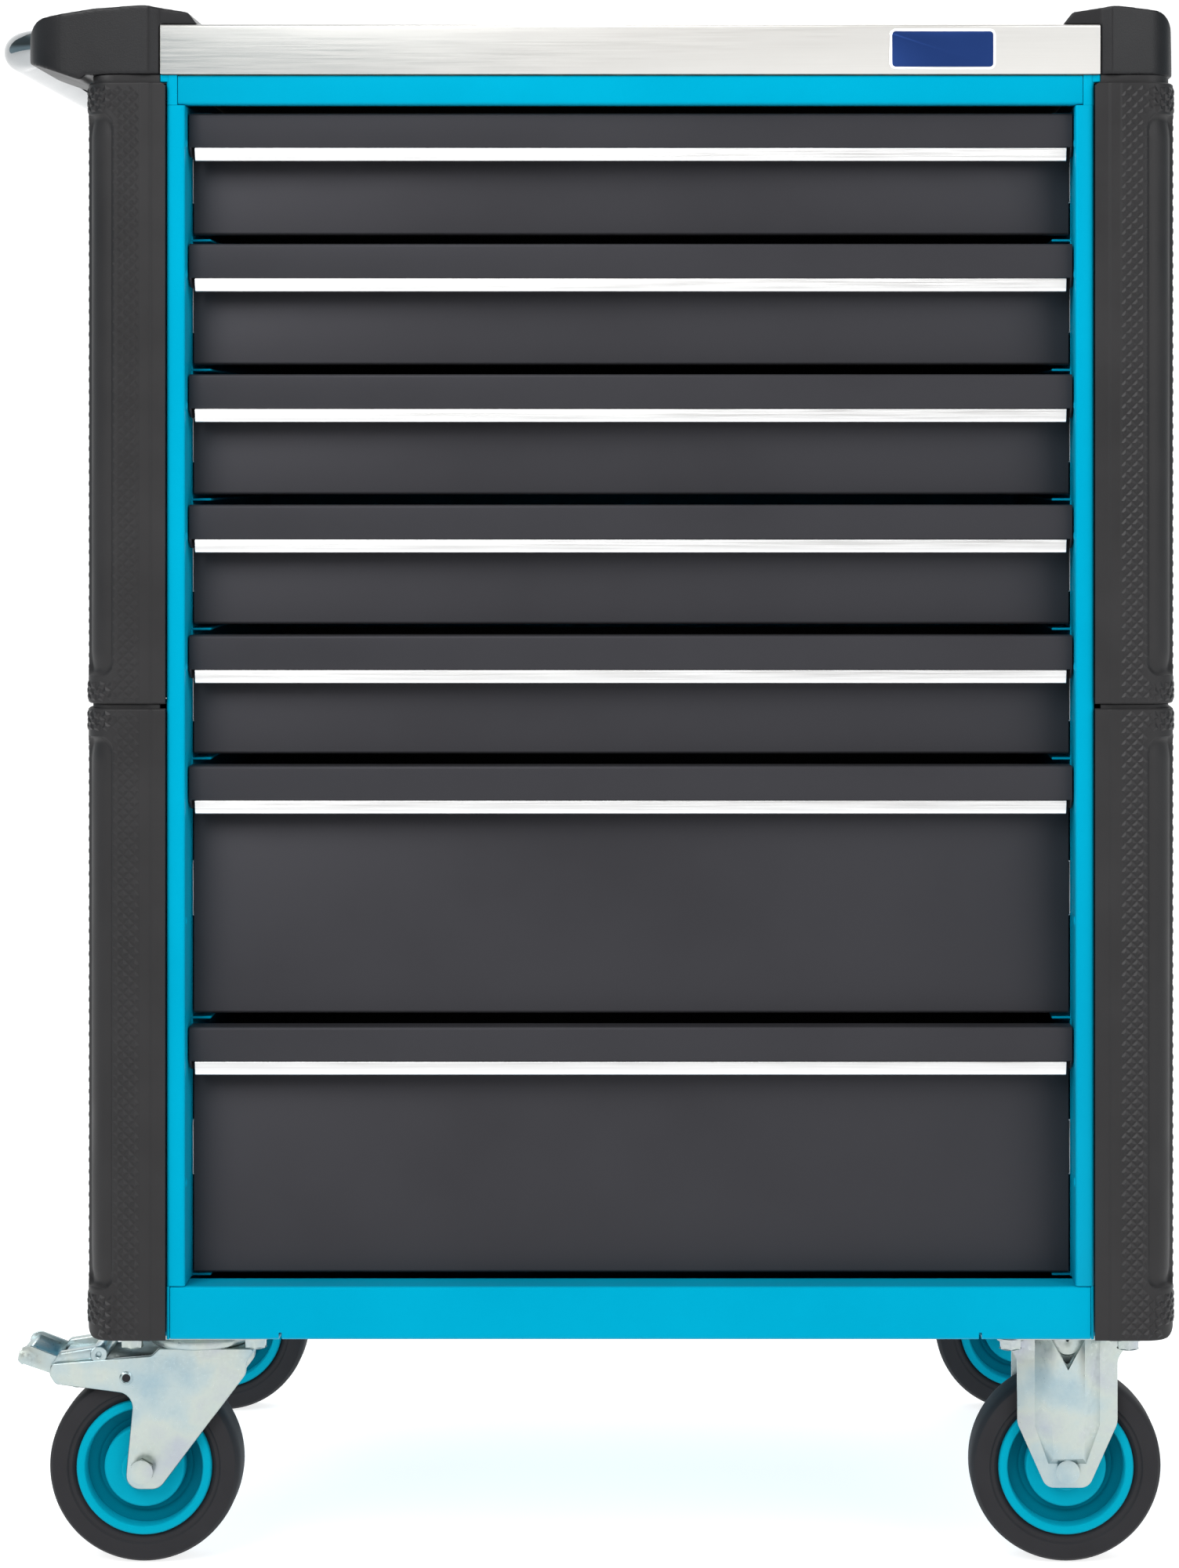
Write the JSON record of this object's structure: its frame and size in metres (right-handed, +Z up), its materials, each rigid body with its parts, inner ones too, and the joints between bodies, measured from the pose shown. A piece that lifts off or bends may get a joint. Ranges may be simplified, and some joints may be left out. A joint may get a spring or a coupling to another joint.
{
  "type": "rolling tool chest",
  "caption": "Rolling tool chest: steel cabinet with drawers on telescopic slides, stainless worktop, push handle, corner guards, swivel casters with brakes and fixed casters.",
  "frame": {"origin": "on the floor under the middle of the whole chest, handle included", "axes": "+X to the right seen from the front, +Y to the back, +Z up; the drawers open towards -Y"},
  "size_m": [0.7742, 0.498, 1.0108],
  "materials": {
    "cyan_paint": "fine powder coat, satin",
    "anthracite_paint": "fine-textured powder coat, matt",
    "black_plastic": "moulded, fine leather grain with a knurled band",
    "worktop_stainless": "fine brushed stainless",
    "core_board": "raw pressed board",
    "grip_aluminium": "bright anodised",
    "handle_chrome": "polished chrome",
    "zinc_plate": "pressed steel, bluish zinc plate",
    "tyre_rubber": "grey rubber tyre on a cyan plastic rim"
  },
  "bodies": {
    "cabinet": {"side_panel_left": "cyan_paint", "side_panel_right": "cyan_paint", "base_pan": "cyan_paint", "back_panel": "cyan_paint", "top_rail": "cyan_paint", "worktop": "worktop_stainless", "worktop_core": "core_board", "handle_tube": "handle_chrome", "cap_front_left": "black_plastic", "cap_front_right": "black_plastic", "cap_rear_left": "black_plastic", "cap_rear_right": "black_plastic", "guard_lower_front_left": "black_plastic", "guard_upper_front_left": "black_plastic", "guard_lower_front_right": "black_plastic", "guard_upper_front_right": "black_plastic", "guard_lower_rear_left": "black_plastic", "guard_upper_rear_left": "black_plastic", "guard_lower_rear_right": "black_plastic", "guard_upper_rear_right": "black_plastic", "caster_plate_front_left": "zinc_plate", "caster_plate_rear_left": "zinc_plate", "caster_bracket_front_right": "zinc_plate", "caster_bracket_rear_right": "zinc_plate"},
    "drawer_body_1": {"drawer_1": "anthracite_paint", "drawer_grip_1": "grip_aluminium"},
    "slide_body_1": {"slide_left_1": "zinc_plate", "slide_right_1": "zinc_plate"},
    "drawer_body_2": {"drawer_2": "anthracite_paint", "drawer_grip_2": "grip_aluminium"},
    "slide_body_2": {"slide_left_2": "zinc_plate", "slide_right_2": "zinc_plate"},
    "drawer_body_3": {"drawer_3": "anthracite_paint", "drawer_grip_3": "grip_aluminium"},
    "slide_body_3": {"slide_left_3": "zinc_plate", "slide_right_3": "zinc_plate"},
    "drawer_body_4": {"drawer_4": "anthracite_paint", "drawer_grip_4": "grip_aluminium"},
    "slide_body_4": {"slide_left_4": "zinc_plate", "slide_right_4": "zinc_plate"},
    "drawer_body_5": {"drawer_5": "anthracite_paint", "drawer_grip_5": "grip_aluminium"},
    "slide_body_5": {"slide_left_5": "zinc_plate", "slide_right_5": "zinc_plate"},
    "drawer_body_6": {"drawer_6": "anthracite_paint", "drawer_grip_6": "grip_aluminium"},
    "slide_body_6": {"slide_left_6": "zinc_plate", "slide_right_6": "zinc_plate"},
    "drawer_body_7": {"drawer_7": "anthracite_paint", "drawer_grip_7": "grip_aluminium"},
    "slide_body_7": {"slide_left_7": "zinc_plate", "slide_right_7": "zinc_plate"},
    "swivel_front_left": {"caster_fork_front_left": "zinc_plate"},
    "brake_front_left": {"brake_pedal_front_left": "zinc_plate"},
    "wheel_body_front_left": {"wheel_front_left": "tyre_rubber"},
    "swivel_rear_left": {"caster_fork_rear_left": "zinc_plate"},
    "brake_rear_left": {"brake_pedal_rear_left": "zinc_plate"},
    "wheel_body_rear_left": {"wheel_rear_left": "tyre_rubber"},
    "wheel_body_front_right": {"wheel_front_right": "tyre_rubber"},
    "wheel_body_rear_right": {"wheel_rear_right": "tyre_rubber"}
  },
  "joints": [
    {"name": "drawer_1_slide", "type": "slide", "parent": "cabinet", "child": "drawer_body_1", "axis": [0, -1, 0], "range_m": [0, 0.4]},
    {"name": "slide_1_extend", "type": "slide", "parent": "cabinet", "child": "slide_body_1", "axis": [0, -1, 0], "range_m": [0, 0.2]},
    {"name": "drawer_2_slide", "type": "slide", "parent": "cabinet", "child": "drawer_body_2", "axis": [0, -1, 0], "range_m": [0, 0.4]},
    {"name": "slide_2_extend", "type": "slide", "parent": "cabinet", "child": "slide_body_2", "axis": [0, -1, 0], "range_m": [0, 0.2]},
    {"name": "drawer_3_slide", "type": "slide", "parent": "cabinet", "child": "drawer_body_3", "axis": [0, -1, 0], "range_m": [0, 0.4]},
    {"name": "slide_3_extend", "type": "slide", "parent": "cabinet", "child": "slide_body_3", "axis": [0, -1, 0], "range_m": [0, 0.2]},
    {"name": "drawer_4_slide", "type": "slide", "parent": "cabinet", "child": "drawer_body_4", "axis": [0, -1, 0], "range_m": [0, 0.4]},
    {"name": "slide_4_extend", "type": "slide", "parent": "cabinet", "child": "slide_body_4", "axis": [0, -1, 0], "range_m": [0, 0.2]},
    {"name": "drawer_5_slide", "type": "slide", "parent": "cabinet", "child": "drawer_body_5", "axis": [0, -1, 0], "range_m": [0, 0.4]},
    {"name": "slide_5_extend", "type": "slide", "parent": "cabinet", "child": "slide_body_5", "axis": [0, -1, 0], "range_m": [0, 0.2]},
    {"name": "drawer_6_slide", "type": "slide", "parent": "cabinet", "child": "drawer_body_6", "axis": [0, -1, 0], "range_m": [0, 0.4]},
    {"name": "slide_6_extend", "type": "slide", "parent": "cabinet", "child": "slide_body_6", "axis": [0, -1, 0], "range_m": [0, 0.2]},
    {"name": "drawer_7_slide", "type": "slide", "parent": "cabinet", "child": "drawer_body_7", "axis": [0, -1, 0], "range_m": [0, 0.4]},
    {"name": "slide_7_extend", "type": "slide", "parent": "cabinet", "child": "slide_body_7", "axis": [0, -1, 0], "range_m": [0, 0.2]},
    {"name": "swivel_front_left", "type": "hinge", "parent": "cabinet", "child": "swivel_front_left", "pos_m": [-0.24625, -0.187, 0.14], "axis": [0, 0, 1], "continuous": true},
    {"name": "wheel_spin_front_left", "type": "hinge", "parent": "swivel_front_left", "child": "wheel_body_front_left", "pos_m": [-0.28125, -0.187, 0.0625], "axis": [0, 1, 0], "continuous": true},
    {"name": "brake_pedal_front_left", "type": "hinge", "parent": "swivel_front_left", "child": "brake_front_left", "pos_m": [-0.3243, -0.187, 0.12046], "axis": [0, -1, 0], "range_deg": [0, 16]},
    {"name": "swivel_rear_left", "type": "hinge", "parent": "cabinet", "child": "swivel_rear_left", "pos_m": [-0.24625, 0.187, 0.14], "axis": [0, 0, 1], "continuous": true},
    {"name": "wheel_spin_rear_left", "type": "hinge", "parent": "swivel_rear_left", "child": "wheel_body_rear_left", "pos_m": [-0.28125, 0.187, 0.0625], "axis": [0, 1, 0], "continuous": true},
    {"name": "brake_pedal_rear_left", "type": "hinge", "parent": "swivel_rear_left", "child": "brake_rear_left", "pos_m": [-0.3243, 0.187, 0.12046], "axis": [0, -1, 0], "range_deg": [0, 16]},
    {"name": "wheel_spin_front_right", "type": "hinge", "parent": "cabinet", "child": "wheel_body_front_right", "pos_m": [0.32035, -0.187, 0.0625], "axis": [0, 1, 0], "continuous": true},
    {"name": "wheel_spin_rear_right", "type": "hinge", "parent": "cabinet", "child": "wheel_body_rear_right", "pos_m": [0.32035, 0.187, 0.0625], "axis": [0, 1, 0], "continuous": true}
  ],
  "couplings": [
    {"joint": "slide_1_extend", "follows": "drawer_1_slide", "ratio": 0.5},
    {"joint": "slide_2_extend", "follows": "drawer_2_slide", "ratio": 0.5},
    {"joint": "slide_3_extend", "follows": "drawer_3_slide", "ratio": 0.5},
    {"joint": "slide_4_extend", "follows": "drawer_4_slide", "ratio": 0.5},
    {"joint": "slide_5_extend", "follows": "drawer_5_slide", "ratio": 0.5},
    {"joint": "slide_6_extend", "follows": "drawer_6_slide", "ratio": 0.5},
    {"joint": "slide_7_extend", "follows": "drawer_7_slide", "ratio": 0.5}
  ]
}
